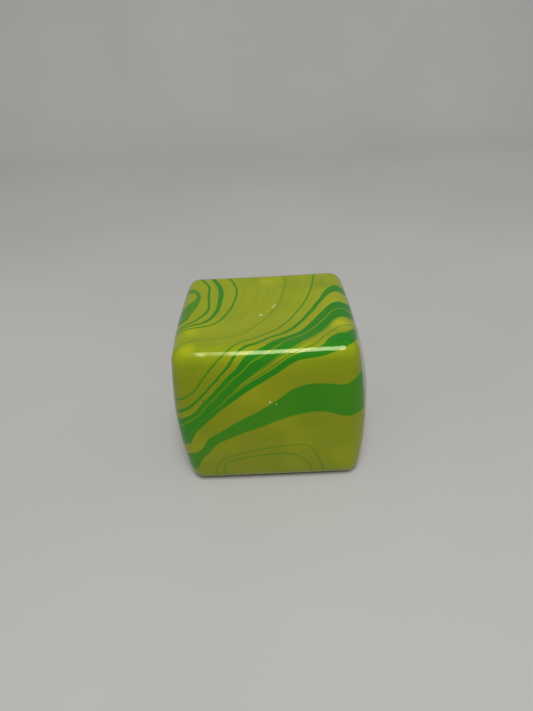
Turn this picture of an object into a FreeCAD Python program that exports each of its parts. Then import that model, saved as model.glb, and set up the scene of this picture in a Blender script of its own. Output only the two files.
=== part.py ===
"""Squeeze cube: a soft moulded skin packed with dough and closed by a stopper under its base.

Millimetres. +Z is up, +X is to the right and the front faces -Y. The origin is at the middle of
the underside, on the plane that the cube rests on.

The cube has a flat base, four outward-bowed side faces and a slightly sunken top. A side face is
part of a large sphere, so the skin's inner face and the dough's outer face are spheres about the
same centre, and the wall is even all over.

The skin and the dough are each one piece on the real cube. Here each is parted by a level plane
near half height, because the upper half sinks towards the lower half when the cube is squeezed.
"""

import FreeCAD
import Part
import Sketcher
import os

DIMENSIONS = {
    "edge_width": (57.0, "corner to corner, left to right"),
    "edge_depth": (55.0, "corner to corner, front to back"),
    "height": (54.0, "resting plane to the top's rim"),
    "side_bow": (4.2, "how far the left and right faces bow out"),
    "front_bow": (1.8, "how far the front and back faces bow out"),
    "edge_radius": (4.5, "rounding of every outside edge"),
    "sink_depth": (1.2, "how far the middle of the top is sunken"),
    "sink_radius": (22.0, "radius of the sunken area at the rim"),
    "skin_wall": (2.5, "thickness of the skin"),
    "dough_gap": (0.2, "gap between the skin and the dough"),
    "part_height": (27.0, "level at which skin and dough are parted"),
    "part_gap": (0.3, "gap between the lower and upper halves"),
    "port_radius": (3.0, "fill port through the base"),
    "recess_radius": (5.0, "recess round the port"),
    "recess_depth": (1.4, "depth of that recess"),
    "fit_clearance": (0.1, "stopper and seal to the skin"),
    "seal_setback": (0.2, "resting plane to the seal"),
    "seal_thickness": (0.4, "glue over the stopper"),
    "barb_overhang": (1.0, "how far the barb reaches past the port"),
    "barb_height": (1.2, "length of the tapered barb"),
}

# Radius of the sphere through a face's four corners and its bowed middle.
SIDE_SPHERE = ("((Sizes.edge_depth / 2)^2 + (Sizes.height / 2)^2 + Sizes.side_bow^2)"
               " / (2 * Sizes.side_bow)")
FRONT_SPHERE = ("((Sizes.edge_width / 2)^2 + (Sizes.height / 2)^2 + Sizes.front_bow^2)"
                " / (2 * Sizes.front_bow)")
SINK_SPHERE = "(Sizes.sink_radius^2 + Sizes.sink_depth^2) / (2 * Sizes.sink_depth)"
DOUGH_INSET = "(Sizes.skin_wall + Sizes.dough_gap)"

# What bounds a face across each axis: distance between the corners, bow and sphere.
FACES = {
    "x": ("Sizes.edge_width", "Sizes.side_bow", SIDE_SPHERE),
    "y": ("Sizes.edge_depth", "Sizes.front_bow", FRONT_SPHERE),
}
UP = FreeCAD.Vector(0, 0, 1)
# Degrees about Z that turn a ball's seam away from the face that the ball bounds.
SEAM_TURN = {"+x": 180, "-x": 0, "+y": -90, "-y": 90}

doc = FreeCAD.newDocument("SqueezeCube")


def make_sheet():
    """The sheet of driving dimensions: name, value in millimetres and meaning."""
    sheet = doc.addObject("Spreadsheet::Sheet", "Sizes")
    for row, (alias, (value, meaning)) in enumerate(DIMENSIONS.items(), start=1):
        sheet.set(f"A{row}", alias)
        sheet.set(f"B{row}", str(value))
        sheet.set(f"C{row}", meaning)
        sheet.setAlias(f"B{row}", alias)
    doc.recompute()


def make(kind, name, **sizes):
    """A document object whose properties are bound to expressions; x, y and z are its place."""
    thing = doc.addObject(kind, name)
    for key, expression in sizes.items():
        place = f"Placement.Base.{key}" if key in ("x", "y", "z") else key
        thing.setExpression(place, expression)
    return thing


def combine(kind, name, base, tool):
    """Part::Cut, Part::Common or Part::Fuse of two objects."""
    result = doc.addObject(kind, name)
    result.Base = base
    result.Tool = tool
    return result


def bowed_face(name, facing, inset):
    """The ball that bounds the bowed face on one side, with its seam turned to the far side."""
    sign, axis = facing
    extent, bow, sphere = FACES[axis]
    ball = make("Part::Sphere", name, Radius=f"{sphere} - {inset}", z="Sizes.height / 2",
                **{axis: f"{sign}({extent} / 2 + {bow} - {sphere})"})
    ball.Placement.Rotation = FreeCAD.Rotation(UP, SEAM_TURN[facing])
    return ball


def pillow(name, inset):
    """The cube's outer form moved inwards by inset: bowed sides, rounded edges, sunken top."""
    width = f"(Sizes.edge_width + 2 * Sizes.side_bow - 2 * {inset})"
    depth = f"(Sizes.edge_depth + 2 * Sizes.front_bow - 2 * {inset})"
    block = make("Part::Box", f"{name}_block", Length=width, Width=depth,
                 Height=f"Sizes.height - 2 * {inset}", x=f"-{width} / 2", y=f"-{depth} / 2", z=inset)
    balls = [bowed_face(f"{name}_ball{i}", facing, inset) for i, facing in enumerate(SEAM_TURN)]
    bowed = doc.addObject("Part::MultiCommon", f"{name}_bowed")
    bowed.Shapes = [block] + balls
    doc.recompute()

    body = doc.addObject("PartDesign::Body", f"{name}_body")
    body.BaseFeature = bowed
    doc.recompute()
    unrounded = body.Tip
    rounding = body.newObject("PartDesign::Fillet", f"{name}_rounding")
    rounding.Base = (unrounded, ["Face1"])
    rounding.UseAllEdges = True
    rounding.setExpression("Radius", f"Sizes.edge_radius - {inset}")
    doc.recompute()

    sink = make("Part::Sphere", f"{name}_sink", Radius=f"{SINK_SPHERE} + {inset}",
                z=f"Sizes.height - Sizes.sink_depth + {SINK_SPHERE}")
    return combine("Part::Cut", f"{name}_pillow", body, sink)


def slab(name, low, high):
    """A level slice wider than the cube, between two heights."""
    width = "(Sizes.edge_width + 2 * Sizes.side_bow)"
    depth = "(Sizes.edge_depth + 2 * Sizes.front_bow)"
    return make("Part::Box", name, Length=f"2 * {width}", Width=f"2 * {depth}",
                Height=f"{high} - {low}", x=f"-{width}", y=f"-{depth}", z=low)


def halves(whole, lower_name, upper_name):
    """The lower and upper halves of a piece, with the parting gap between them."""
    lower_slab = slab(f"{lower_name}_slab", "0", "(Sizes.part_height - Sizes.part_gap / 2)")
    upper_slab = slab(f"{upper_name}_slab", "(Sizes.part_height + Sizes.part_gap / 2)", "Sizes.height")
    lower = combine("Part::Common", lower_name, whole, lower_slab)
    upper = combine("Part::Common", upper_name, whole, upper_slab)
    return [lower, upper]


def make_skin():
    """The moulded skin: an even wall with the fill port and its recess in the base."""
    shell = combine("Part::Cut", "shell", pillow("outside", "0"), pillow("inside", "Sizes.skin_wall"))
    port = make("Part::Cylinder", "port", Radius="Sizes.port_radius", Height="2 * Sizes.skin_wall",
                z="-Sizes.skin_wall / 2")
    recess = make("Part::Cylinder", "recess", Radius="Sizes.recess_radius",
                  Height="2 * Sizes.recess_depth", z="-Sizes.recess_depth")
    opening = combine("Part::Fuse", "opening", port, recess)
    return halves(combine("Part::Cut", "skin", shell, opening), "skin_lower", "skin_upper")


def make_filling():
    """The dough, which takes the skin's inner form and leaves room for the stopper's barb."""
    dough = pillow("dough", DOUGH_INSET)
    pocket = make("Part::Cylinder", "barb_pocket",
                  Radius="Sizes.port_radius + Sizes.barb_overhang + Sizes.dough_gap",
                  Height="Sizes.skin_wall + Sizes.barb_height + 2 * Sizes.dough_gap")
    return halves(combine("Part::Cut", "filling", dough, pocket), "filling_lower", "filling_upper")


def turned_piece(name, outline):
    """A round piece about Z, from (radius, height) expressions that go round its half section."""
    body = doc.addObject("PartDesign::Body", name)
    plane = next(p for p in body.Origin.OriginFeatures if p.Role == "XZ_Plane")
    sketch = body.newObject("Sketcher::SketchObject", f"{name}_section")
    sketch.AttachmentSupport = (plane, "")
    sketch.MapMode = "FlatFace"

    # The section starts as a rough ring of points, which the bound sizes then pull into place.
    count = len(outline)
    start = [FreeCAD.Vector(*rough_point(radius, height), 0) for radius, height in outline]
    for i in range(count):
        sketch.addGeometry(Part.LineSegment(start[i], start[(i + 1) % count]))
    for i in range(count):
        sketch.addConstraint(Sketcher.Constraint("Coincident", i, 2, (i + 1) % count, 1))
    for i, (radius, height) in enumerate(outline):
        for kind, expression, value in (("DistanceX", radius, start[i].x),
                                        ("DistanceY", height, start[i].y)):
            index = sketch.addConstraint(Sketcher.Constraint(kind, -1, 1, i, 1, value))
            sketch.setExpression(f"Constraints[{index}]", expression)
    doc.recompute()

    turned = body.newObject("PartDesign::Revolution", f"{name}_turned")
    turned.Profile = sketch
    turned.ReferenceAxis = (sketch, ["V_Axis"])
    turned.Angle = 360
    doc.recompute()
    return body


def rough_point(radius, height):
    """What two expressions on the sheet come to now, as a sketch's starting point."""
    sheet = doc.getObject("Sizes")
    return tuple(sheet.evalExpression(text.replace("Sizes.", "")) for text in (radius, height))


def make_stopper():
    """The stopper: a head in the recess, a shank in the port and a barb inside the skin."""
    head_low = "Sizes.seal_setback + Sizes.seal_thickness"
    shank = "Sizes.port_radius - Sizes.fit_clearance"
    barb_low = "Sizes.skin_wall + Sizes.fit_clearance"
    barb_high = f"{barb_low} + Sizes.barb_height - Sizes.fit_clearance"
    return turned_piece("fill_stopper", [
        ("0", head_low),
        ("Sizes.recess_radius - Sizes.fit_clearance", head_low),
        ("Sizes.recess_radius - Sizes.fit_clearance", "Sizes.recess_depth"),
        (shank, "Sizes.recess_depth"),
        (shank, barb_low),
        ("Sizes.port_radius + Sizes.barb_overhang", barb_low),
        (shank, barb_high),
        ("0", barb_high),
    ])


def make_seal():
    """The glue that covers the stopper's head inside the recess."""
    seal_high = "Sizes.seal_setback + Sizes.seal_thickness"
    rim = "Sizes.recess_radius - Sizes.fit_clearance"
    return turned_piece("port_seal", [
        ("0", "Sizes.seal_setback"),
        (rim, "Sizes.seal_setback"),
        (rim, seal_high),
        ("0", seal_high),
    ])


make_sheet()
pieces = make_skin() + make_filling() + [make_stopper(), make_seal()]
doc.recompute()

for thing in doc.Objects:
    failed = {"Invalid", "Error"} & set(thing.State)
    if failed:
        raise RuntimeError(f"{thing.Name} did not compute: {sorted(failed)}")
for piece in pieces:
    if piece.Shape.isNull() or not piece.Shape.isValid() or len(piece.Shape.Solids) != 1:
        raise RuntimeError(f"{piece.Label} is not one valid solid")

os.makedirs("parts", exist_ok=True)
for piece in pieces:
    piece.Shape.exportStep(f"parts/{piece.Label}.step")
    box = piece.Shape.optimalBoundingBox()
    print(f"{piece.Label}: {piece.Shape.Volume / 1000:.2f} cm3, "
          f"{box.XLength:.2f} x {box.YLength:.2f} x {box.ZLength:.2f}, from z {box.ZMin:.2f}")
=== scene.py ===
"""Squeeze cube: a glossy marbled skin packed with dough, its fill port stoppered underneath.

The skin and the dough are each one soft piece. Both start as a plain rounded block, and one cage
swells them together: sides bowed out, top sunken, base leaning a little. The marbling is worked out
on the plain block and goes with the skin as it swells. Blender's lengths are metres. The sizes,
places and tables below are in millimetres unless their comment says otherwise.
"""

import bpy
import functools
import math
import numpy as np
from mathutils import Matrix, Vector


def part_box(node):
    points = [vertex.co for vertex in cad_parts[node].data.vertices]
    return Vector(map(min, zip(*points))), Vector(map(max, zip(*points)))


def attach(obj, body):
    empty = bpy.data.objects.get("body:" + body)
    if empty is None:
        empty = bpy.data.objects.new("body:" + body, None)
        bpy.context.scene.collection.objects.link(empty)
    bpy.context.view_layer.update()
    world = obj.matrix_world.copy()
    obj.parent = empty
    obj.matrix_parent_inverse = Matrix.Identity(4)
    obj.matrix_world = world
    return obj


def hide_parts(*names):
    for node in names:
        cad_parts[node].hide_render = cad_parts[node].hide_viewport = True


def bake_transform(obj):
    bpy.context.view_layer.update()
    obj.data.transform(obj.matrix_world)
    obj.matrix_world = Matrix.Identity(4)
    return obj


MM = 0.001

# The plain block, before it swells.
BLOCK_WIDTH = 57.6
BLOCK_DEPTH = 55.0
BLOCK_HEIGHT = 54.0
BLOCK_ROUNDING = 4.3
ROUNDING_STEPS = 8
SKIN_WALL = 2.5
DOUGH_INSET = 2.7
# Share of its inset that a lining's rounding loses.
ROUNDING_LOSS = 0.8
# Cuts along each long span, for the skin's outer face and for what is inside it.
SKIN_CUTS = 97
LINING_CUTS = 23
# Edges sharper than this stay sharp in the shading, in degrees.
SHARP_ANGLE = 50

# How the block swells, as shares of its half width and half depth: how far the middles and the
# upright edges of its faces bow out, and how far the base spreads and the top narrows.
SIDE_BOW = 0.168
FRONT_BOW = 0.030
SIDE_EDGE_BOW = 0.032
FRONT_EDGE_BOW = 0.047
BASE_WIDER = 0.006
TOP_NARROWER = 0.014
# Share of the bow that moves from above half height to below it.
BELLY_SAG = 0.22
# How far the base leans to the right, and how far the middle of the top sinks.
BASE_LEAN = 1.1
TOP_SINK = 1.15
# The cage that swells it: knots along each side, and its size in block sizes.
CAGE_POINTS = 7
CAGE_REACH = 1.5

# The fill port under the base.
RECESS_RADIUS = 5.0
RECESS_DEPTH = 1.4
PORT_RADIUS = 3.0
POCKET_RADIUS = 4.2
POCKET_TOP = 4.1
# How near to a level a face's middle is when it belongs to that level.
LEVEL_SLACK = 0.2

# The seal over the stopper: sides of its rim, height of its upright edge as a share of its thickness,
# then steps inwards, as shares of its radius, and down, as shares of its thickness.
SEAL_SIDES = 64
SEAL_EDGE = 0.6
SEAL_STEPS = [(0.04, 0.3), (0.06, 0.1), (0.25, -0.15), (0.35, -0.1)]

# Marbling: the level of each colour boundary, and points (across, up) that it runs through on each
# face of the plain block. Levels rise from the foot of the front, up it and back over the top.
FLOW = [
    (13.5, {"front": [(-17, 5), (-16.5, 9), (-15, 10.5), (-10, 12), (-5, 12.8), (0, 13.5), (5, 13.3),
                      (7.5, 12.5), (9.5, 10.5), (11.5, 8), (12.3, 5)],
            "base": [(-16, -24), (-12, -16), (-2, -12), (8, -16), (12, -24)]}),
    (16.7, {"front": [(-20, 5), (-18, 10), (-13, 13), (-6, 15.5), (3, 17), (8, 17.4), (11, 17),
                      (12.7, 15.7), (14.5, 11), (15.7, 8), (16.3, 5)],
            "base": [(-19.5, -22), (-14, -11), (-2, -7), (10, -11), (15.5, -22)]}),
    (27, {"front": [(-25, 8.5), (-23.5, 12), (-20, 16), (-18, 18.5), (-15, 20.5), (-10, 23), (-5, 25),
                    (0, 27.2), (5, 29.2), (10, 30.6), (15, 31), (18, 30.6), (22, 29), (24, 28.3),
                    (26.5, 28.8)],
          "right": [(-22, 29), (-10, 27), (0, 24), (10, 20), (20, 14.5), (26, 11)],
          "back": [(15, 5.5)],
          "base": [(-27, -16), (-20, -5), (-8, 8), (3, 18), (7, 25)],
          "left": [(-22, 5)]}),
    (34.5, {"front": [(-27, 14.5), (-23, 16.5), (-20.5, 21), (-18, 23), (-15, 25), (-10, 28.5),
                      (-5, 31.3), (0, 34.5), (3, 36.5), (6, 39), (10, 41), (15, 41.7), (20, 41.2),
                      (23.5, 40.6), (26.5, 42)],
            "right": [(-20, 43.5), (-10, 41.5), (0, 37), (10, 31), (20, 25), (26, 21)],
            "back": [(25, 18), (15, 12), (0, 8), (-15, 7), (-26, 9)],
            "left": [(24, 9), (10, 6), (0, 5), (-15, 8)]}),
    (44, {"front": [(-26.5, 19), (-25, 22), (-22.5, 25.5), (-20, 28.3), (-15, 33), (-10, 37),
                    (-5, 40.7), (0, 43.8), (5, 47), (8, 49), (10, 50), (15, 50.6), (18, 51.2)],
          "top": [(27, -25)],
          "right": [(-17, 50.5), (-12, 47.5), (-3, 44.5), (6, 40.5), (15, 35.5), (25, 31)],
          "back": [(25, 28), (15, 21), (0, 15), (-15, 14), (-25, 17)],
          "left": [(24, 16), (10, 13), (-10, 12.5), (-22, 16)]}),
    (46.3, {"front": [(0, 46.2), (5, 49.7), (7, 51)],
            "top": [(17, -26), (19, -23.5), (21, -21), (23, -19.5), (26, -19)]}),
    (48.8, {"front": [(0, 48.8), (3, 51)],
            "top": [(10, -25), (12, -22.8), (15, -20.5), (17, -18.5), (20, -15), (22, -11.5),
                    (24, -9.5), (27, -9)],
            "right": [(-7.5, 51), (-4, 48), (3, 46), (12, 43), (20, 40), (25, 38.5)],
            "back": [(15, 30), (0, 22)]}),
    (53, {"front": [(-25.5, 29), (-23, 30.7), (-20, 34.7), (-15, 40), (-10, 45), (-5, 49.6)],
          "top": [(5, -24), (7, -21.8), (10, -20), (13, -18), (16, -14.5), (20, -9), (22, -5.5),
                  (24, -3.8), (26.5, -3.6)]}),
    (57, {"front": [(-26.5, 30), (-24, 31.8), (-22, 33.5), (-20, 36.2), (-17, 39.5), (-15, 41.7),
                    (-10, 47), (-8, 49.5)],
          "top": [(0, -24.5), (3, -21.5), (5, -20.5), (8, -19), (11, -17), (14, -13), (17, -8),
                  (20, -3.5), (22, -0.5), (24, 1.2), (26.5, 1.5)],
          "right": [(3, 51), (6, 49), (12, 47), (19, 45.5), (25, 44)],
          "back": [(25, 43), (15, 38), (0, 31), (-15, 28), (-25, 28.5)],
          "left": [(24, 28), (10, 25.5), (-10, 25.5), (-22, 28)]}),
    (60, {"front": [(-26.5, 33), (-24, 34.8), (-22, 36.5), (-20, 38.8), (-17, 42.3), (-15, 44.2),
                    (-12, 47.7), (-10, 50.5)],
          "top": [(-3, -24), (0, -21.6), (5, -18.5), (8, -16), (11, -12.5), (14, -8), (17, -3),
                  (20, 3), (22, 6.5), (24, 8.5), (27, 9.5)],
          "right": [(10.5, 51), (14, 49.5), (20, 48)],
          "back": [(15, 42.5), (0, 35.5), (-15, 31.5)]}),
    (61, {"top": [(15, -3.5), (17, 0.5), (19.5, 5), (21, 9), (23, 12), (25, 13.7), (27, 14.3)],
          "right": [(14.5, 51.5)],
          "left": [(24, 32.5), (10, 28.5), (-10, 29), (-22, 31.5)]}),
    (64, {"front": [(-27, 37.3), (-25, 38.8), (-22.5, 40.6), (-20, 44.3), (-17.5, 47.5), (-15, 50.5)],
          "top": [(-10, -24.5), (-7, -21.5), (-5, -20.5), (0, -17.3), (5, -13), (8, -9), (10, -5),
                  (13, 1), (15, 6), (17, 13), (18, 18), (18.8, 23)],
          "back": [(12, 49), (0, 42), (-15, 37), (-25, 37)],
          "left": [(24, 36), (10, 31.5), (-5, 32), (-15, 35)]}),
    (74, {"top": [(-24, -21), (-15, -19.3), (-10, -18), (-6, -15.5), (-3, -11.5), (0, -7.5),
                  (2.5, -2.5), (4, 0.5), (5.5, 5), (6.5, 10), (7.3, 15), (7.8, 22)],
          "back": [(0, 50), (-12, 44), (-25, 41)],
          "left": [(15, 36), (0, 35), (-12, 40), (-18, 47)]}),
    (88, {"top": [(-12, 21.5), (-10.7, 18), (-10, 14), (-10.3, 9), (-11, 4), (-12, 0), (-13.5, -4),
                  (-15.5, -8), (-18, -10.3), (-21, -11.4), (-24.5, -12.3)],
          "back": [(-20, 49), (-26, 46)],
          "left": [(15, 38.5), (4, 37), (-8, 43)]}),
    (93, {"top": [(-18.5, 22), (-16.7, 18), (-15.8, 14), (-15.5, 10), (-15.8, 5), (-16, 1),
                  (-17, -3), (-18.5, -6.5), (-20.5, -8.8), (-23, -10.1), (-25.5, -11.5)],
          "left": [(22, 43.5), (12, 40.5), (4, 39.5), (-5, 43)]}),
    (96.6, {"top": [(-23.5, 23.5), (-21, 19.5), (-20, 15), (-20, 10), (-19.5, 5), (-19.3, 1),
                    (-20.5, -3), (-22.5, -6), (-25, -9)],
            "left": [(21, 46.5), (12, 42.5), (3, 42), (-4, 46)]}),
    (100, {"top": [(-26, -7), (-25, -3), (-23.8, 1), (-23, 4), (-22.8, 7), (-23.3, 11), (-24.3, 14),
                   (-26, 16.2)],
           "left": [(17, 48), (10, 44.5), (2, 45), (-3, 50)]}),
    (102, {"top": [(-26.5, 5.8), (-24.6, 7.5), (-24.1, 10), (-24.8, 12.5), (-26.5, 14)],
           "left": [(8, 48), (13, 50)]}),
]
# Where a point on a face is on the block: its fixed axis, that axis's place, and the two others.
FACES = {
    "front": (1, -BLOCK_DEPTH / 2, 0, 2),
    "back": (1, BLOCK_DEPTH / 2, 0, 2),
    "right": (0, BLOCK_WIDTH / 2, 1, 2),
    "left": (0, -BLOCK_WIDTH / 2, 1, 2),
    "top": (2, BLOCK_HEIGHT, 0, 1),
    "base": (2, 0.0, 0, 1),
}
# Green stripes: lowest and highest level, millimetres added each side, and strength.
STRIPES = [
    (13.5, 13.5, 0.25, 0.62),
    (16.7, 16.7, 0.22, 0.60),
    (27.0, 34.5, 0.0, 0.92),
    (44.0, 57.0, 0.0, 1.0),
    (60.0, 61.0, 0.08, 0.95),
    (64.0, 64.0, 0.28, 0.90),
    (74.0, 74.0, 0.50, 0.30),
    (88.0, 88.0, 0.38, 0.90),
    (92.3, 93.7, 0.12, 0.97),
    (96.6, 96.6, 0.45, 0.92),
    (100.0, 102.0, 0.0, 0.80),
]
# Width of a stripe's soft edge.
EDGE_SOFTNESS = 0.30
# A yellow wedge in the widest stripe: its level, the place across where it starts and is fully open,
# and how far its lower and upper edges have moved by then, in levels.
WEDGE_LEVEL = 46.6
WEDGE_START = -19.0
WEDGE_OPEN = 0.0
WEDGE_FALL = 0.3
WEDGE_RISE = 2.2
# Hairlines: level, millimetres each side of it, and strength. The green ones are in the wedge.
GREEN_HAIRS = [(48.35, 0.14, 0.95), (47.0, 0.17, 0.95)]
YELLOW_HAIR = (53.0, 0.17, 0.85)
# How freely the flow may leave its points to run smoothly, its least rate, and the points per batch.
FLOW_EASING = 8.0
LEAST_RATE = 0.05
BATCH = 5000

# Colours of the skin. The top's yellow, paler as painted light, takes over from the sides' yellow,
# darker as painted shade, between two heights.
PAINTED_TOP_LIGHT_FROM = 44.0
PAINTED_TOP_LIGHT_TO = 52.0
YELLOW_TOP_PAINTED_LIGHT = (0.288, 0.336, 0.001)
YELLOW_SIDE_PAINTED_SHADE = (0.222, 0.252, 0.001)
YELLOW_GREENED = (0.140, 0.240, 0.001)
YELLOW_BRIGHT = (0.460, 0.470, 0.001)
GREEN = (0.006, 0.200, 0.001)
GREEN_LIGHT = (0.045, 0.210, 0.001)
GLOSS_TINT = (0.92, 1.0, 0.52, 1.0)
PALE = (0.600, 0.640, 0.300)
GREY = (0.130, 0.120, 0.060)
# Colours of the other pieces, the floor and the room.
DOUGH = (0.62, 0.60, 0.30)
DOUGH_DAMP = (0.48, 0.50, 0.20)
DOUGH_GRAIN = (0.75, 0.73, 0.50)
RUBBER = (0.42, 0.46, 0.05)
RUBBER_DARK = (0.30, 0.36, 0.03)
GLUE = (0.50, 0.52, 0.16)
GLUE_AIRY = (0.66, 0.67, 0.36)
FLOOR_SHADE = (0.46, 0.452, 0.436)
FLOOR_PALE = (0.50, 0.492, 0.474)
ROOM_TINT = (0.97, 0.98, 1.0, 1.0)

# Soft patches in the yellow: place on the plain block, radius and strength.
BRIGHT_PATCHES = [
    ((24.5, -13.5, 54.0), 5.0, 0.95),
    ((-23.5, -24.0, 52.5), 3.3, 0.90),
    ((-24.0, -14.5, 54.0), 4.5, 0.60),
    ((2.0, 21.0, 54.0), 6.0, 0.40),
]
GREENED_PATCHES = [
    ((21.0, 16.0, 54.0), 6.5, 0.55),
    ((19.0, -27.5, 46.5), 6.0, 0.40),
    ((-22.5, -27.5, 49.0), 5.5, 0.40),
    ((22.0, -27.5, 20.0), 6.0, 0.25),
    ((-21.0, -27.5, 27.0), 4.0, 0.25),
]
# Tiny flecks: place, radius and colour. The four pale ones on the top are small scuffs with their glint
# painted in, a painted highlight; the others are dust and grit. Then the width of their edge, and
# strength.
FLECKS_AND_GLINTS = [
    ((-1.2, -3.9, 54.0), 0.75, PALE),
    ((1.2, -1.4, 54.0), 0.40, PALE),
    ((3.0, 1.2, 54.0), 0.60, PALE),
    ((3.6, 2.4, 54.0), 0.60, PALE),
    ((0.4, -27.5, 35.6), 0.45, PALE),
    ((2.3, -27.5, 34.7), 0.35, PALE),
    ((-20.0, -27.5, 37.0), 0.60, GREY),
    ((-2.9, -27.5, 26.0), 0.40, GREY),
    ((-0.9, -27.5, 21.0), 0.40, GREY),
]
FLECK_AND_GLINT_EDGE = 0.25
FLECK_AND_GLINT_STRENGTH = 0.8
# Clouding, all over the skin: how strongly each kind shows. Clouds are drawn out upwards, and streaks
# change quickly along the flow and slowly across and up.
CLOUD_STRENGTH = 0.26
CLOUD_STRETCH = (1.0, 1.0, 0.35)
STREAK_STRENGTH = 0.25
STREAK_ALONG = 0.9
STREAK_ACROSS = 0.05
STREAK_UP = 0.03
BRIGHT_STRENGTH = 0.22
THIN_GREEN_STRENGTH = 0.36

# The camera: its lens and place in millimetres, its nearest view in metres, and turns in degrees.
CAMERA_LENS = 26.2
CAMERA_PLACE = (4.1, -155.7, 138.4)
CAMERA_NEAREST = 0.01
CAMERA_HEADING = 1.6
CAMERA_DIP = 33.9
CAMERA_ROLL = -3.6

# Studio, in metres, watts and plain strengths.
LAMP_DIRECTION = (0.03, -0.455, 0.90)
LAMP_DISTANCE = 1.2
LAMP_WIDTH = 0.41
LAMP_LENGTH = 0.62
LAMP_WATTS = 10.8
FLOOR_SIZE = 6.0
FLOOR_GAP = 0.0001
WALL_PLACE = 0.7
WALL_HEIGHT = 1.0
COVE_RADIUS = 0.25
COVE_STEPS = 24
ROOM_LIGHT = 0.29
ROOM_SEEN = 0.60

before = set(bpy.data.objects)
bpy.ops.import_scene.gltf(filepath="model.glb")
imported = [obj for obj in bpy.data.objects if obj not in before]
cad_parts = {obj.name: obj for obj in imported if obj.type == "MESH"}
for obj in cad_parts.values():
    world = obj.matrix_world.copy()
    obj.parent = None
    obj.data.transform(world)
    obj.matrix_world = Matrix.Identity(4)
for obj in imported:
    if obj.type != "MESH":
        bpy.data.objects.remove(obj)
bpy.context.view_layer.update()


def clear_bench():
    """Object mode, with nothing selected."""
    if bpy.context.object and bpy.context.object.mode != "OBJECT":
        bpy.ops.object.mode_set(mode="OBJECT")
    bpy.ops.object.select_all(action="DESELECT")


def start_on(piece):
    """Object mode, with only this piece selected and active."""
    clear_bench()
    piece.select_set(True)
    bpy.context.view_layer.objects.active = piece


def pick(piece, kind, chosen):
    """Edit mode on the piece, with only the chosen elements, EDGE or FACE, selected."""
    start_on(piece)
    mesh = piece.data
    for part in (mesh.vertices, mesh.edges, mesh.polygons):
        part.foreach_set("select", np.zeros(len(part), dtype=bool))
    elements = {"EDGE": mesh.edges, "FACE": mesh.polygons}[kind]
    elements.foreach_set("select", chosen)
    bpy.ops.object.mode_set(mode="EDIT")
    bpy.ops.mesh.select_mode(type=kind)


def pick_open_edges():
    """In edit mode, selects only the edges with a face on one side."""
    bpy.ops.mesh.select_mode(type="EDGE")
    bpy.ops.mesh.select_all(action="DESELECT")
    bpy.ops.mesh.select_non_manifold(extend=False, use_wire=False, use_boundary=True,
                                     use_multi_face=False, use_non_contiguous=False,
                                     use_verts=False)


def smooth(piece):
    """Shades the piece smooth, apart from its sharp edges."""
    start_on(piece)
    bpy.ops.object.shade_smooth_by_angle(angle=math.radians(SHARP_ANGLE))


def read(elements, field, width):
    """A field of a mesh's vertices, edges or faces, one row each."""
    found = np.zeros(len(elements) * width)
    elements.foreach_get(field, found)
    return found.reshape(-1, width)


def edge_ends(piece):
    """Where both ends of each edge are."""
    ends = read(piece.data.edges, "vertices", 2).astype(int)
    return read(piece.data.vertices, "co", 3)[ends]


def store(piece, name, kind, field, values):
    """Keeps a value for each vertex of the piece under a name."""
    layer = piece.data.attributes.new(name, kind, "POINT")
    layer.data.foreach_set(field, values.astype(np.float32).ravel())


def make_block(name, inset, cuts):
    """A plain block with rounded edges, its long spans divided into an even grid."""
    size = Vector((BLOCK_WIDTH, BLOCK_DEPTH, BLOCK_HEIGHT)) - Vector((2 * inset,) * 3)
    clear_bench()
    bpy.ops.mesh.primitive_cube_add(size=1, location=(0, 0, BLOCK_HEIGHT / 2 * MM), scale=size * MM)
    block = bpy.context.object
    block.name = name
    block.data.name = name
    bpy.ops.object.transform_apply(location=True, rotation=False, scale=True)
    pick(block, "EDGE", np.ones(len(block.data.edges), dtype=bool))
    bpy.ops.mesh.bevel(offset=(BLOCK_ROUNDING - inset * ROUNDING_LOSS) * MM,
                       segments=ROUNDING_STEPS, affect="EDGES")
    start_on(block)
    ends = edge_ends(block)
    lengths = np.linalg.norm(ends[:, 0] - ends[:, 1], axis=1)
    pick(block, "EDGE", lengths > BLOCK_ROUNDING * 2 * MM)
    bpy.ops.mesh.subdivide(number_cuts=cuts)
    start_on(block)
    return block


def swollen(point):
    """Where a point of the plain block ends up, in millimetres."""
    x, y, z = point
    across = x / (BLOCK_WIDTH / 2)
    back = y / (BLOCK_DEPTH / 2)
    up = z / (BLOCK_HEIGHT / 2) - 1
    belly = (1 - up ** 2) * (1 - BELLY_SAG * up)
    wider = 1 + (SIDE_BOW * (1 - back ** 2) + SIDE_EDGE_BOW) * belly - BASE_WIDER * up
    deeper = 1 + (FRONT_BOW * (1 - across ** 2) + FRONT_EDGE_BOW) * belly - TOP_NARROWER * up
    sink = TOP_SINK * (1 - across ** 2) * (1 - back ** 2) * ((1 + up) / 2) ** 4
    return Vector((x * wider + BASE_LEAN * (1 - up) / 2, y * deeper, z - sink))


def swell(pieces):
    """Swells the blocks together in one cage that reaches past them all round."""
    clear_bench()
    bpy.ops.object.add(type="LATTICE", location=(0, 0, BLOCK_HEIGHT / 2 * MM))
    cage = bpy.context.object
    cage.scale = Vector((BLOCK_WIDTH, BLOCK_DEPTH, BLOCK_HEIGHT)) * CAGE_REACH * MM
    for axis in "uvw":
        setattr(cage.data, f"points_{axis}", CAGE_POINTS)
        setattr(cage.data, f"interpolation_type_{axis}", "KEY_CATMULL_ROM")
    bpy.context.view_layer.update()
    to_cage = cage.matrix_world.inverted()
    for knot in cage.data.points:
        knot.co_deform = to_cage @ (swollen(cage.matrix_world @ knot.co / MM) * MM)
    for piece in pieces:
        start_on(piece)
        piece.modifiers.new("swelling", "LATTICE").object = cage
        bpy.ops.object.modifier_apply(modifier="swelling")
    bpy.data.objects.remove(cage)


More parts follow.
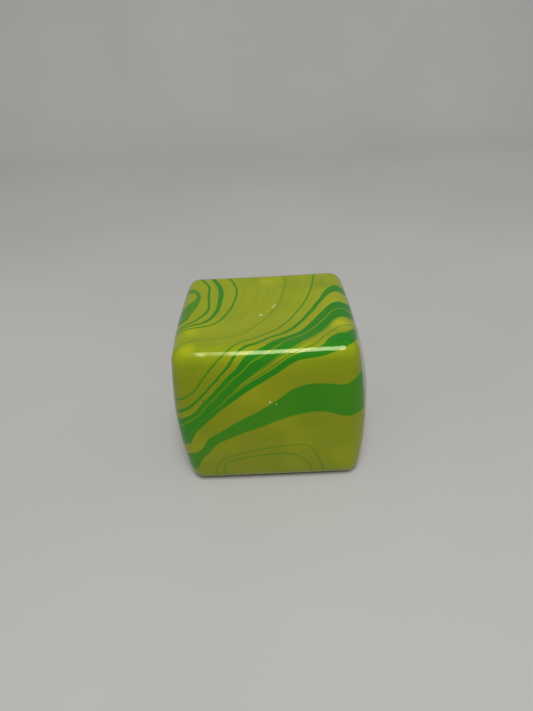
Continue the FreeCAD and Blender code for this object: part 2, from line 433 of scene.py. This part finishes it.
def open_base(piece, radius, level):
    """Opens a round hole in the level face at this height, and leaves its rim's edges selected."""
    centres = read(piece.data.polygons, "center", 3)
    near = np.hypot(centres[:, 0], centres[:, 1]) < radius * MM
    pick(piece, "FACE", near & (abs(centres[:, 2] - level * MM) < LEVEL_SLACK * MM))
    bpy.ops.mesh.delete(type="FACE")
    pick_open_edges()
    bpy.ops.object.mode_set(mode="OBJECT")
    for corner in piece.data.vertices:
        if corner.select:
            out = math.hypot(corner.co.x, corner.co.y)
            corner.co.x *= radius * MM / out
            corner.co.y *= radius * MM / out
    bpy.ops.object.mode_set(mode="EDIT")


def raise_rim(height):
    """Extrudes the selected rim straight up."""
    bpy.ops.mesh.extrude_edges_move(TRANSFORM_OT_translate={"value": (0, 0, height * MM)})


def narrow_rim(share):
    """Extrudes the selected rim inwards, about the port's axis."""
    bpy.ops.mesh.extrude_edges_move(TRANSFORM_OT_translate={"value": (0, 0, 0)})
    bpy.ops.transform.resize(value=(share, share, 1))


def flow_points():
    """The marbling's points on the plain block, moved onto its rounded edges, and their levels."""
    points = []
    levels = []
    for level, faces in FLOW:
        for face, spots in faces.items():
            fixed, place, across, up = FACES[face]
            for spot in spots:
                point = [0.0, 0.0, 0.0]
                point[fixed] = place
                point[across] = spot[0]
                point[up] = spot[1]
                points.append(point)
                levels.append(level)
    half = np.array([BLOCK_WIDTH, BLOCK_DEPTH, BLOCK_HEIGHT]) / 2
    middle = np.array([0, 0, BLOCK_HEIGHT / 2])
    points = np.array(points)
    core = np.clip(points - middle, BLOCK_ROUNDING - half, half - BLOCK_ROUNDING) + middle
    out = points - core
    return core + out / np.linalg.norm(out, axis=1, keepdims=True) * BLOCK_ROUNDING, levels


def solve_flow(points, levels):
    """Weights of a smooth field through the levels: one for each point, a constant and a slope."""
    count = len(points)
    system = np.zeros((count + 4, count + 4))
    system[:count, :count] = np.linalg.norm(points[:, None] - points[None], axis=2) ** 3
    system[:count, :count] += FLOW_EASING * np.eye(count)
    system[:count, count:] = np.c_[np.ones(count), points]
    system[count:, :count] = system[:count, count:].T
    return np.linalg.solve(system, np.r_[levels, np.zeros(4)])


def lay_marbling(piece):
    """Stores where each vertex lies on the plain block, the flow there and how fast it changes."""
    points, levels = flow_points()
    weights = solve_flow(points, levels)
    pulls = weights[:len(points)]
    spots = read(piece.data.vertices, "co", 3) / MM
    normals = read(piece.data.vertices, "normal", 3)
    flow = np.zeros(len(spots))
    slope = np.zeros((len(spots), 3))
    for first in range(0, len(spots), BATCH):
        part = slice(first, first + BATCH)
        apart = spots[part, None] - points[None]
        distance = np.linalg.norm(apart, axis=2)
        flow[part] = distance ** 3 @ pulls + weights[-4] + spots[part] @ weights[-3:]
        slope[part] = np.einsum("ij,ijk->ik", 3 * distance * pulls, apart) + weights[-3:]
    slope -= np.sum(slope * normals, axis=1, keepdims=True) * normals
    store(piece, "moulded", "FLOAT_VECTOR", "vector", spots)
    store(piece, "flow", "FLOAT", "value", flow)
    store(piece, "flow_rate", "FLOAT", "value", np.maximum(np.linalg.norm(slope, axis=1), LEAST_RATE))


class Value:
    """A number that varies over a surface. Sums on it add Math nodes."""

    def __init__(self, finish, socket):
        self.finish = finish
        self.socket = socket

    def math(self, operation, *terms, clamp=False):
        """A Math node on the terms, in their order."""
        settings = {"operation": operation, "use_clamp": clamp}
        return self.finish.node("ShaderNodeMath", settings, dict(enumerate(terms)))

    def __add__(self, other):
        return self.math("ADD", self, other)

    __radd__ = __add__

    def __sub__(self, other):
        return self.math("SUBTRACT", self, other)

    def __rsub__(self, other):
        return self.math("SUBTRACT", other, self)

    def __mul__(self, other):
        return self.math("MULTIPLY", self, other)

    __rmul__ = __mul__

    def __truediv__(self, other):
        return self.math("DIVIDE", self, other)

    def __rtruediv__(self, other):
        return self.math("DIVIDE", other, self)

    def __abs__(self):
        return self.math("ABSOLUTE", self)

    def clamped(self):
        """Kept between 0 and 1."""
        return self.math("ADD", self, 0.0, clamp=True)

    def most(self, other):
        """The greater of the two."""
        return self.math("MAXIMUM", self, other)


class Finish:
    """The nodes of one material, or of the room, and the one way in which they are made."""

    def __init__(self, owner):
        owner.use_nodes = True
        self.owner = owner
        self.tree = owner.node_tree
        self.tree.nodes.clear()

    def node(self, kind, settings, sockets, output=None):
        """A node: its settings, then its sockets. Gives the named output, or else the first in use."""
        made = self.tree.nodes.new(kind)
        for key, value in settings.items():
            setattr(made, key, value)
        for key, value in sockets.items():
            if isinstance(value, Value):
                self.tree.links.new(value.socket, made.inputs[key])
            else:
                made.inputs[key].default_value = value
        if output:
            return Value(self, made.outputs[output])
        return Value(self, next((socket for socket in made.outputs if socket.enabled), None))

    def attribute(self, name, output):
        """What is stored on the piece under this name."""
        return self.node("ShaderNodeAttribute", {"attribute_name": name}, {}, output)

    def place(self):
        """The place on the piece, in metres."""
        return self.node("ShaderNodeTexCoord", {}, {}, "Object")

    def cloud(self, place, scale, detail, low, high):
        """Soft noise, spread so that it runs from 0 at low to 1 at high."""
        noise = self.node("ShaderNodeTexNoise", {}, {"Vector": place, "Scale": scale, "Detail": detail})
        return self.node("ShaderNodeMapRange", {}, {"Value": noise, "From Min": low, "From Max": high})

    def patch(self, place, middle, radius, edge):
        """A round patch: 1 inside, falling to 0 at its radius over the width of its edge."""
        apart = self.node("ShaderNodeVectorMath", {"operation": "DISTANCE"}, {0: place, 1: middle})
        return ((radius - apart) / edge).clamped()

    def blend(self, factor, first, second):
        """Two colours mixed. A plain colour is given as three numbers."""
        first, second = (c if isinstance(c, Value) else (*c, 1.0) for c in (first, second))
        return self.node("ShaderNodeMix", {"data_type": "RGBA"}, {0: factor, 6: first, 7: second})

    def bump(self, height, strength, distance):
        """A surface normal from a height, its full depth given in millimetres."""
        return self.node("ShaderNodeBump", {},
                         {"Height": height, "Strength": strength, "Distance": distance * MM})

    def surface(self, **sockets):
        """Ends the material with its shader, and gives the material."""
        shader = self.node("ShaderNodeBsdfPrincipled", {},
                           {key.replace("_", " "): value for key, value in sockets.items()})
        self.node("ShaderNodeOutputMaterial", {}, {"Surface": shader})
        return self.owner


def green_stripes(finish, flow, across):
    """How green the skin is: its stripes, and the yellow wedge and hairlines in the widest."""
    softness = finish.attribute("flow_rate", "Fac") * EDGE_SOFTNESS

    def above(level):
        return ((flow - level) / softness + 0.5).clamped()

    def stripe(low, high, extra):
        off_middle = abs(flow - (low + high) / 2)
        return (((high - low) / 2 - off_middle) / softness + extra / EDGE_SOFTNESS + 0.5).clamped()

    masks = [stripe(low, high, extra) * strength for low, high, extra, strength in STRIPES]
    green = functools.reduce(Value.most, masks)
    opening = ((across - WEDGE_START) / (WEDGE_OPEN - WEDGE_START)).clamped()
    lower_edge = above(WEDGE_LEVEL - WEDGE_FALL * opening)
    upper_edge = above(WEDGE_LEVEL + WEDGE_RISE * opening)
    wedge = lower_edge * (1 - upper_edge)
    hairs = [stripe(level, level, extra) * strength for level, extra, strength in GREEN_HAIRS]
    green = (green * (1 - wedge)).most(functools.reduce(Value.most, hairs) * wedge)
    level, extra, strength = YELLOW_HAIR
    return green * (1 - stripe(level, level, extra) * strength)


def clouded_yellow(finish, moulded, flow, across, height):
    """The skin's yellow: a top paler as painted light over sides in painted shade, clouds, streaks
    along the flow and soft patches.
    """
    # Painted light and shade: the top's paler yellow takes over from the sides' darker one.
    top = ((height - PAINTED_TOP_LIGHT_FROM) / (PAINTED_TOP_LIGHT_TO - PAINTED_TOP_LIGHT_FROM)).clamped()
    tall = finish.node("ShaderNodeVectorMath", {"operation": "MULTIPLY"},
                       {0: moulded, 1: CLOUD_STRETCH})
    clouds = finish.cloud(tall, scale=0.07, detail=3.0, low=0.42, high=0.72)
    along = finish.node("ShaderNodeCombineXYZ", {},
                        {"X": flow * STREAK_ALONG, "Y": across * STREAK_ACROSS,
                         "Z": height * STREAK_UP})
    streaks = finish.cloud(along, scale=1.0, detail=3.0, low=0.40, high=0.70)
    bright = finish.cloud(moulded, scale=0.05, detail=1.0, low=0.52, high=0.75)
    yellow = finish.blend(top, YELLOW_SIDE_PAINTED_SHADE, YELLOW_TOP_PAINTED_LIGHT)
    yellow = finish.blend(clouds * CLOUD_STRENGTH, yellow, YELLOW_GREENED)
    yellow = finish.blend(streaks * STREAK_STRENGTH, yellow, YELLOW_GREENED)
    yellow = finish.blend(bright * BRIGHT_STRENGTH, yellow, YELLOW_BRIGHT)
    for patches, tone in ((BRIGHT_PATCHES, YELLOW_BRIGHT), (GREENED_PATCHES, YELLOW_GREENED)):
        for middle, radius, strength in patches:
            mask = finish.patch(moulded, middle, radius, radius) * strength
            yellow = finish.blend(mask, yellow, tone)
    return yellow


def marbled_skin():
    """Glossy marbled skin: green stripes run through a clouded yellow, with a few flecks, the pale ones
    on the top painted glints.
    """
    finish = Finish(bpy.data.materials.new("marbled_skin"))
    flow = finish.attribute("flow", "Fac")
    moulded = finish.attribute("moulded", "Vector")
    across = finish.node("ShaderNodeSeparateXYZ", {}, {"Vector": moulded}, "X")
    height = finish.node("ShaderNodeSeparateXYZ", {}, {"Vector": moulded}, "Z")
    thin = finish.cloud(moulded, scale=0.06, detail=2.0, low=0.40, high=0.65)
    green = finish.blend(thin * THIN_GREEN_STRENGTH, GREEN, GREEN_LIGHT)
    yellow = clouded_yellow(finish, moulded, flow, across, height)
    colour = finish.blend(green_stripes(finish, flow, across), yellow, green)
    # Flecks: dust and grit, and on the top small scuffs with a painted glint, a painted highlight.
    for middle, radius, shade in FLECKS_AND_GLINTS:
        fleck_and_glint = finish.patch(moulded, middle, radius, FLECK_AND_GLINT_EDGE) * FLECK_AND_GLINT_STRENGTH
        colour = finish.blend(fleck_and_glint, colour, shade)
    grain = finish.cloud(moulded, scale=0.9, detail=3.0, low=0.3, high=0.7)
    waves = finish.node("ShaderNodeTexNoise", {}, {"Vector": moulded, "Scale": 0.12, "Detail": 1.0})
    return finish.surface(Base_Color=colour, Roughness=grain * 0.05 + 0.10, IOR=1.45,
                          Specular_Tint=GLOSS_TINT,
                          Normal=finish.bump(waves, strength=0.25, distance=1.0))


def kneaded_dough():
    """Pale dough: matt, a little uneven, with fine grains."""
    finish = Finish(bpy.data.materials.new("kneaded_dough"))
    moulded = finish.attribute("moulded", "Vector")
    lumps = finish.cloud(moulded, scale=0.15, detail=4.0, low=0.35, high=0.65)
    grains = finish.cloud(moulded, scale=2.5, detail=2.0, low=0.35, high=0.65)
    colour = finish.blend(lumps * 0.6, DOUGH, DOUGH_DAMP)
    colour = finish.blend(grains * 0.2, colour, DOUGH_GRAIN)
    return finish.surface(Base_Color=colour, Roughness=lumps * 0.1 + 0.75,
                          Normal=finish.bump(grains, strength=0.3, distance=0.3))


def moulded_rubber():
    """Soft rubber of the stopper, dull, with a fine moulded grain."""
    finish = Finish(bpy.data.materials.new("moulded_rubber"))
    place = finish.place()
    grain = finish.cloud(place, scale=2500.0, detail=2.0, low=0.35, high=0.65)
    patches = finish.cloud(place, scale=250.0, detail=2.0, low=0.35, high=0.65)
    colour = finish.blend(patches * 0.5, RUBBER, RUBBER_DARK)
    return finish.surface(Base_Color=colour, Roughness=grain * 0.15 + 0.5,
                          Normal=finish.bump(grain, strength=0.2, distance=0.1))


def cured_glue():
    """Glue of the seal: glossy, faintly yellow, with small clouds from air in it."""
    finish = Finish(bpy.data.materials.new("cured_glue"))
    place = finish.place()
    air = finish.cloud(place, scale=700.0, detail=3.0, low=0.45, high=0.7)
    waves = finish.cloud(place, scale=300.0, detail=1.0, low=0.3, high=0.7)
    colour = finish.blend(air * 0.6, GLUE, GLUE_AIRY)
    return finish.surface(Base_Color=colour, Roughness=air * 0.15 + 0.12, Coat_Weight=0.5,
                          Normal=finish.bump(waves, strength=0.25, distance=0.2))


def plain_floor():
    """Pale floor with the faintest unevenness."""
    finish = Finish(bpy.data.materials.new("plain_floor"))
    patches = finish.cloud(finish.place(), scale=6.0, detail=3.0, low=0.3, high=0.7)
    return finish.surface(Base_Color=finish.blend(patches, FLOOR_SHADE, FLOOR_PALE), Roughness=0.75)


def make_skin():
    """The skin: outer face, lining and the fill port that joins them under the base."""
    skin = make_block("skin", 0.0, SKIN_CUTS)
    lining = make_block("lining", SKIN_WALL, LINING_CUTS)
    pick(lining, "FACE", np.ones(len(lining.data.polygons), dtype=bool))
    bpy.ops.mesh.flip_normals()
    lay_marbling(skin)
    swell([skin, lining])
    open_base(lining, PORT_RADIUS, SKIN_WALL)
    open_base(skin, RECESS_RADIUS, 0.0)
    raise_rim(RECESS_DEPTH)
    narrow_rim(PORT_RADIUS / RECESS_RADIUS)
    start_on(skin)
    lining.select_set(True)
    bpy.ops.object.join()
    bpy.ops.object.mode_set(mode="EDIT")
    pick_open_edges()
    bpy.ops.mesh.bridge_edge_loops()
    smooth(skin)
    skin.data.materials.append(marbled_skin())
    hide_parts("skin_lower", "skin_upper")
    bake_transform(skin)


def make_filling():
    """The dough that fills the skin, with a pocket over the stopper's barb."""
    filling = make_block("filling", DOUGH_INSET, LINING_CUTS)
    store(filling, "moulded", "FLOAT_VECTOR", "vector", read(filling.data.vertices, "co", 3) / MM)
    swell([filling])
    open_base(filling, POCKET_RADIUS, DOUGH_INSET)
    raise_rim(POCKET_TOP - DOUGH_INSET)
    bpy.ops.mesh.edge_face_add()
    smooth(filling)
    filling.data.materials.append(kneaded_dough())
    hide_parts("filling_lower", "filling_upper")
    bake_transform(filling)


def make_seal():
    """The glue over the stopper: a disc with a rounded rim and a shallow dish where it sank."""
    low, high = (Vector(corner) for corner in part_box("port_seal"))
    middle = (low + high) / 2
    radius = high.x - middle.x
    thickness = high.z - low.z
    clear_bench()
    bpy.ops.mesh.primitive_circle_add(vertices=SEAL_SIDES, radius=radius, fill_type="NGON",
                                      location=(middle.x, middle.y, high.z))
    seal = bpy.context.object
    seal.name = "port_seal_glue"
    seal.data.name = seal.name
    bpy.ops.object.transform_apply(location=True, rotation=False, scale=True)
    pick(seal, "FACE", np.ones(1, dtype=bool))
    edge = {"value": (0, 0, -SEAL_EDGE * thickness)}
    bpy.ops.mesh.extrude_region_move(TRANSFORM_OT_translate=edge)
    for inset, drop in SEAL_STEPS:
        bpy.ops.mesh.inset(thickness=inset * radius, depth=0)
        bpy.ops.transform.translate(value=(0, 0, -drop * thickness))
    bpy.ops.mesh.select_all(action="SELECT")
    bpy.ops.mesh.normals_make_consistent(inside=False)
    smooth(seal)
    seal.data.materials.append(cured_glue())
    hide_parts("port_seal")
    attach(seal, "base")


def make_stopper():
    """The stopper keeps its shape and gets its rubber."""
    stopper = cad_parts["fill_stopper"]
    stopper.data.materials.clear()
    stopper.data.materials.append(moulded_rubber())


def make_camera():
    """The camera: near, well above, turned and rolled a little."""
    camera = bpy.data.objects.new("camera", bpy.data.cameras.new("camera"))
    bpy.context.scene.collection.objects.link(camera)
    camera.data.lens = CAMERA_LENS
    camera.data.clip_start = CAMERA_NEAREST
    heading = Matrix.Rotation(math.radians(CAMERA_HEADING), 4, "Z")
    tilt = Matrix.Rotation(math.radians(90 - CAMERA_DIP), 4, "X")
    roll = Matrix.Rotation(math.radians(CAMERA_ROLL), 4, "Z")
    place = Matrix.Translation(Vector(CAMERA_PLACE) * MM)
    camera.matrix_world = place @ heading @ tilt @ roll
    bpy.context.scene.camera = camera


def make_lamp():
    """A soft rectangular lamp that faces the middle of the cube."""
    lamp = bpy.data.objects.new("soft_lamp", bpy.data.lights.new("soft_lamp", "AREA"))
    bpy.context.scene.collection.objects.link(lamp)
    lamp.data.shape = "RECTANGLE"
    lamp.data.size = LAMP_WIDTH
    lamp.data.size_y = LAMP_LENGTH
    lamp.data.energy = LAMP_WATTS
    away = Vector(LAMP_DIRECTION).normalized()
    lamp.location = Vector((0, 0, BLOCK_HEIGHT / 2 * MM)) + away * LAMP_DISTANCE
    lamp.rotation_euler = away.to_track_quat("Z", "Y").to_euler()


def make_floor():
    """A pale floor that curves up behind the cube into a plain wall."""
    clear_bench()
    bpy.ops.mesh.primitive_plane_add(size=1, location=(0, WALL_PLACE - FLOOR_SIZE / 2, -FLOOR_GAP))
    floor = bpy.context.object
    floor.name = "floor"
    floor.scale = (FLOOR_SIZE, FLOOR_SIZE, 1)
    bpy.ops.object.transform_apply(location=True, rotation=False, scale=True)
    pick(floor, "EDGE", edge_ends(floor)[:, :, 1].min(axis=1) > 0)
    bpy.ops.mesh.extrude_edges_move(TRANSFORM_OT_translate={"value": (0, 0, WALL_HEIGHT)})
    start_on(floor)
    ends = edge_ends(floor)
    pick(floor, "EDGE", (ends[:, :, 1].min(axis=1) > 0) & (ends[:, :, 2].max(axis=1) < MM))
    bpy.ops.mesh.bevel(offset=COVE_RADIUS, segments=COVE_STEPS, affect="EDGES")
    smooth(floor)
    floor.data.materials.append(plain_floor())


def make_room():
    """A pale room: brighter where it is seen than it is as a light."""
    room = Finish(bpy.data.worlds.new("room"))
    rays = [room.node("ShaderNodeLightPath", {}, {}, ray)
            for ray in ("Is Camera Ray", "Is Glossy Ray", "Is Transmission Ray")]
    seen = functools.reduce(Value.most, rays)
    light = room.node("ShaderNodeBackground", {},
                      {"Color": ROOM_TINT, "Strength": seen * (ROOM_SEEN - ROOM_LIGHT) + ROOM_LIGHT})
    room.node("ShaderNodeOutputWorld", {}, {"Surface": light})
    bpy.context.scene.world = room.owner


make_camera()
make_skin()
make_filling()
make_seal()
make_stopper()
make_floor()
make_lamp()
make_room()
bpy.context.scene.view_settings.view_transform = "Standard"
